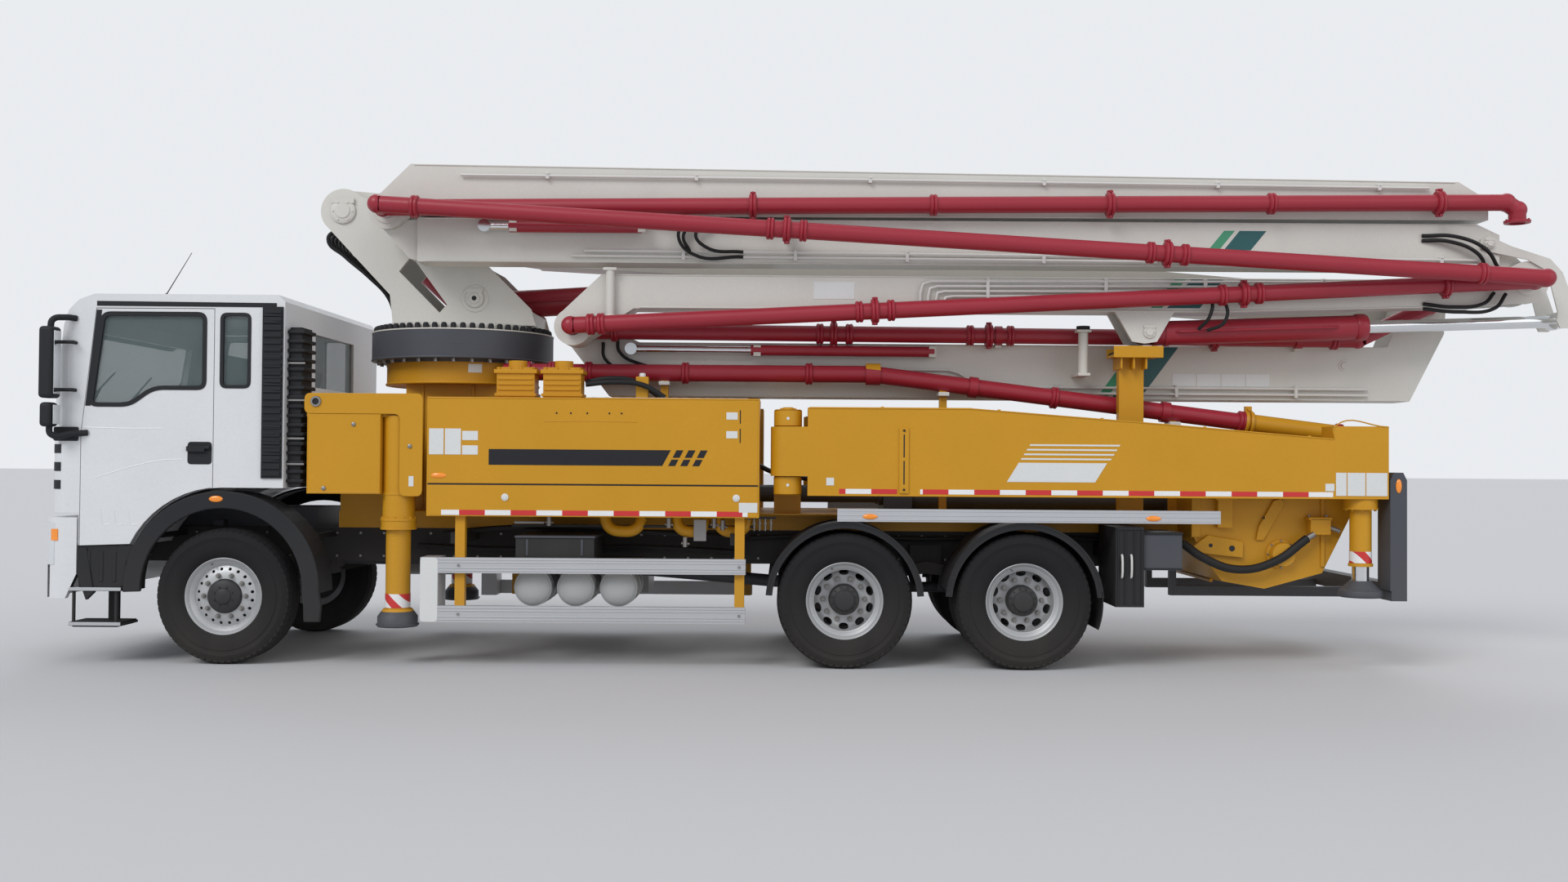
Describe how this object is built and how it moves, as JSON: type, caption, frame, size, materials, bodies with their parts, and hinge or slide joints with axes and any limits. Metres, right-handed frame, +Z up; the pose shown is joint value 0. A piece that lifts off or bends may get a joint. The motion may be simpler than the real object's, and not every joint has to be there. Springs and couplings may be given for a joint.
{
  "type": "concrete pump truck",
  "caption": "Three-axle truck-mounted concrete pump with a folded five-section boom, hopper and outriggers.",
  "frame": {"origin": "on the ground, at the middle of the truck's length and width", "axes": "X from the cab (minus) to the hopper (plus), minus Y the driver's left, Z up"},
  "size_m": [12.185, 2.84, 3.997],
  "materials": {
    "frame_black": "satin black chassis paint",
    "body_yellow": "golden yellow enamel, lightly worn",
    "axle_steel": "dark slate grey paint",
    "tyre_rubber": "black tyre rubber",
    "rim_silver": "silver rim paint",
    "cab_white": "clean white gloss paint",
    "glass": "lightly tinted cab glass",
    "cab_trim": "dark grey cloth and plastic",
    "aluminium": "brushed aluminium and light grey paint",
    "pipe_red": "crimson pipe paint",
    "boom_white": "warm grey-white boom paint",
    "rod_chrome": "hard chrome"
  },
  "bodies": {
    "chassis": {"chassis_frame": "frame_black", "subframe": "body_yellow", "engine": "axle_steel", "front_axle": "axle_steel", "rear_axles": "axle_steel", "leaf_springs": "frame_black", "front_bumper": "cab_white", "fenders": "frame_black", "side_boxes": "body_yellow", "side_guards": "aluminium", "tanks": "aluminium", "rear_guard": "axle_steel", "hopper": "body_yellow", "pump_unit": "axle_steel", "deck_pipe": "pipe_red", "boom_rest": "body_yellow", "outrigger_housing": "body_yellow", "pedestal": "body_yellow"},
    "knuckle_l": {"knuckle_left": "axle_steel"},
    "knuckle_r": {"knuckle_right": "axle_steel"},
    "wheel_front_left": {"tyre_front_left": "tyre_rubber", "rim_front_left": "rim_silver"},
    "wheels_mid_left": {"tyres_mid_left": "tyre_rubber", "rims_mid_left": "rim_silver"},
    "wheels_back_left": {"tyres_back_left": "tyre_rubber", "rims_back_left": "rim_silver"},
    "wheel_front_right": {"tyre_front_right": "tyre_rubber", "rim_front_right": "rim_silver"},
    "wheels_mid_right": {"tyres_mid_right": "tyre_rubber", "rims_mid_right": "rim_silver"},
    "wheels_back_right": {"tyres_back_right": "tyre_rubber", "rims_back_right": "rim_silver"},
    "cab": {"cab_shell": "cab_white", "cab_glass": "glass", "cab_interior": "cab_trim", "cab_fittings": "frame_black"},
    "cab_door_left": {"door_left": "cab_white"},
    "outrigger_f_left": {"outrigger_front_left": "body_yellow"},
    "leg_f_left": {"leg_front_left": "rod_chrome"},
    "outrigger_r_left": {"outrigger_rear_left": "body_yellow"},
    "leg_r_left": {"leg_rear_left": "rod_chrome"},
    "cab_door_right": {"door_right": "cab_white"},
    "outrigger_f_right": {"outrigger_front_right": "body_yellow"},
    "leg_f_right": {"leg_front_right": "rod_chrome"},
    "outrigger_r_right": {"outrigger_rear_right": "body_yellow"},
    "leg_r_right": {"leg_rear_right": "rod_chrome"},
    "grate": {"hopper_grate": "frame_black"},
    "turret_body": {"turret": "boom_white"},
    "section_1": {"arm_1": "boom_white"},
    "section_2": {"arm_2": "boom_white"},
    "section_3": {"arm_3": "boom_white"},
    "section_4": {"arm_4": "boom_white"},
    "section_5": {"arm_5": "boom_white"},
    "ram_raise": {"raise_barrel": "pipe_red"},
    "ram_raise_rod": {"raise_rod": "rod_chrome"},
    "ram_3_rod": {"rod_3": "rod_chrome"},
    "ram_fold": {"fold_barrel": "pipe_red"},
    "ram_fold_rod": {"fold_rod": "rod_chrome"},
    "link_fold": {"fold_link": "boom_white"},
    "ram_5_rod": {"rod_5": "rod_chrome"}
  },
  "joints": [
    {"name": "steer_left", "type": "hinge", "parent": "chassis", "child": "knuckle_l", "pos_m": [-4.65, -0.84, 0.53], "axis": [0, 0, 1], "range_deg": [-32, 32]},
    {"name": "spin_front_left", "type": "hinge", "parent": "knuckle_l", "child": "wheel_front_left", "pos_m": [-4.65, -1.065, 0.53], "axis": [0, 1, 0], "continuous": true},
    {"name": "spin_mid_left", "type": "hinge", "parent": "chassis", "child": "wheels_mid_left", "pos_m": [0.2, -0.92, 0.53], "axis": [0, 1, 0], "continuous": true},
    {"name": "spin_back_left", "type": "hinge", "parent": "chassis", "child": "wheels_back_left", "pos_m": [1.6, -0.92, 0.53], "axis": [0, 1, 0], "continuous": true},
    {"name": "steer_right", "type": "hinge", "parent": "chassis", "child": "knuckle_r", "pos_m": [-4.65, 0.84, 0.53], "axis": [0, 0, 1], "range_deg": [-32, 32]},
    {"name": "spin_front_right", "type": "hinge", "parent": "knuckle_r", "child": "wheel_front_right", "pos_m": [-4.65, 1.065, 0.53], "axis": [0, 1, 0], "continuous": true},
    {"name": "spin_mid_right", "type": "hinge", "parent": "chassis", "child": "wheels_mid_right", "pos_m": [0.2, 0.92, 0.53], "axis": [0, 1, 0], "continuous": true},
    {"name": "spin_back_right", "type": "hinge", "parent": "chassis", "child": "wheels_back_right", "pos_m": [1.6, 0.92, 0.53], "axis": [0, 1, 0], "continuous": true},
    {"name": "cab_tilt", "type": "hinge", "parent": "chassis", "child": "cab", "pos_m": [-6, 0, 1.13], "axis": [0, -1, 0], "range_deg": [0, 50]},
    {"name": "door_left_hinge", "type": "hinge", "parent": "cab", "child": "cab_door_left", "pos_m": [-5.754, -1.243, 1.8], "axis": [0, 0, -1], "range_deg": [0, 70]},
    {"name": "front_beam_left", "type": "slide", "parent": "chassis", "child": "outrigger_f_left", "axis": [0, -1, 0], "range_m": [0, 1.5]},
    {"name": "front_leg_left", "type": "slide", "parent": "outrigger_f_left", "child": "leg_f_left", "axis": [0, 0, -1], "range_m": [0, 0.42]},
    {"name": "rear_swing_left", "type": "hinge", "parent": "chassis", "child": "outrigger_r_left", "pos_m": [-0.25, -1.11, 1.693], "axis": [0, 0, -1], "range_deg": [0, 100]},
    {"name": "rear_leg_left", "type": "slide", "parent": "outrigger_r_left", "child": "leg_r_left", "axis": [0, 0, -1], "range_m": [0, 0.65]},
    {"name": "door_right_hinge", "type": "hinge", "parent": "cab", "child": "cab_door_right", "pos_m": [-5.754, 1.243, 1.8], "axis": [0, 0, 1], "range_deg": [0, 70]},
    {"name": "front_beam_right", "type": "slide", "parent": "chassis", "child": "outrigger_f_right", "axis": [0, 1, 0], "range_m": [0, 1.5]},
    {"name": "front_leg_right", "type": "slide", "parent": "outrigger_f_right", "child": "leg_f_right", "axis": [0, 0, -1], "range_m": [0, 0.42]},
    {"name": "rear_swing_right", "type": "hinge", "parent": "chassis", "child": "outrigger_r_right", "pos_m": [-0.25, 1.11, 1.693], "axis": [0, 0, 1], "range_deg": [0, 100]},
    {"name": "rear_leg_right", "type": "slide", "parent": "outrigger_r_right", "child": "leg_r_right", "axis": [0, 0, -1], "range_m": [0, 0.65]},
    {"name": "grate_hinge", "type": "hinge", "parent": "chassis", "child": "grate", "pos_m": [3.7, 0.862, 1.537], "axis": [-1, 0, 0], "range_deg": [0, 95]},
    {"name": "slew", "type": "hinge", "parent": "chassis", "child": "turret_body", "pos_m": [-3.06, 0, 2.56], "axis": [0, 0, 1], "range_deg": [0, 180]},
    {"name": "raise", "type": "hinge", "parent": "turret_body", "child": "section_1", "pos_m": [-4, 0, 3.693], "axis": [0, -1, 0], "range_deg": [0, 85]},
    {"name": "raise_barrel_hinge", "type": "hinge", "parent": "turret_body", "child": "ram_raise", "pos_m": [-2.885, 0.18, 2.965], "axis": [0, -1, 0], "range_deg": [0, 90]},
    {"name": "raise_rod_slide", "type": "slide", "parent": "ram_raise", "child": "ram_raise_rod", "axis": [0.9982, 0, 0.0607], "range_m": [0, 1.8]},
    {"name": "fold_2", "type": "hinge", "parent": "section_1", "child": "section_2", "pos_m": [5.1, 0, 2.95], "axis": [0, 1, 0], "range_deg": [0, 180]},
    {"name": "fold_3", "type": "hinge", "parent": "section_2", "child": "section_3", "pos_m": [-1.992, -0.71, 2.69], "axis": [0, 1, 0], "range_deg": [-180, 0]},
    {"name": "fold_4", "type": "hinge", "parent": "section_3", "child": "section_4", "pos_m": [5.707, -0.71, 3.1], "axis": [0, 1, 0], "range_deg": [0, 180]},
    {"name": "fold_5", "type": "hinge", "parent": "section_4", "child": "section_5", "pos_m": [-3.5, -0.71, 3.62], "axis": [0, -1, 0], "range_deg": [0, 180]},
    {"name": "ram_3_slide", "type": "slide", "parent": "section_2", "child": "ram_3_rod", "axis": [1, 0, -0.0032], "range_m": [0, 0.6]},
    {"name": "ram_5_slide", "type": "slide", "parent": "section_4", "child": "ram_5_rod", "axis": [-1, 0, 0], "range_m": [0, 0.5]},
    {"name": "fold_barrel_hinge", "type": "hinge", "parent": "section_3", "child": "ram_fold", "pos_m": [2.658, -0.71, 2.677], "axis": [0, -1, 0], "range_deg": [0, 1]},
    {"name": "fold_rod_slide", "type": "slide", "parent": "ram_fold", "child": "ram_fold_rod", "axis": [-0.9993, 0, -0.0368], "range_m": [0, 0.807]},
    {"name": "fold_link_hinge", "type": "hinge", "parent": "section_4", "child": "link_fold", "pos_m": [5.383, -0.71, 3.407], "axis": [0, -1, 0], "range_deg": [0, 45]}
  ],
  "couplings": [
    {"joint": "steer_right", "follows": "steer_left", "ratio": 1},
    {"joint": "slew", "follows": "raise", "ratio": 2.1176},
    {"joint": "raise_barrel_hinge", "follows": "raise", "ratio": 1.05},
    {"joint": "raise_rod_slide", "follows": "raise", "m_per_rad": 1.1998},
    {"joint": "fold_3", "follows": "fold_2", "ratio": -1},
    {"joint": "ram_3_slide", "follows": "fold_2", "m_per_rad": 0.19099},
    {"joint": "ram_5_slide", "follows": "fold_5", "m_per_rad": 0.15915},
    {"joint": "fold_barrel_hinge", "follows": "fold_4", "ratio": 0.0027778},
    {"joint": "fold_rod_slide", "follows": "fold_4", "m_per_rad": 0.25465},
    {"joint": "fold_link_hinge", "follows": "fold_4", "ratio": 0.23667}
  ]
}
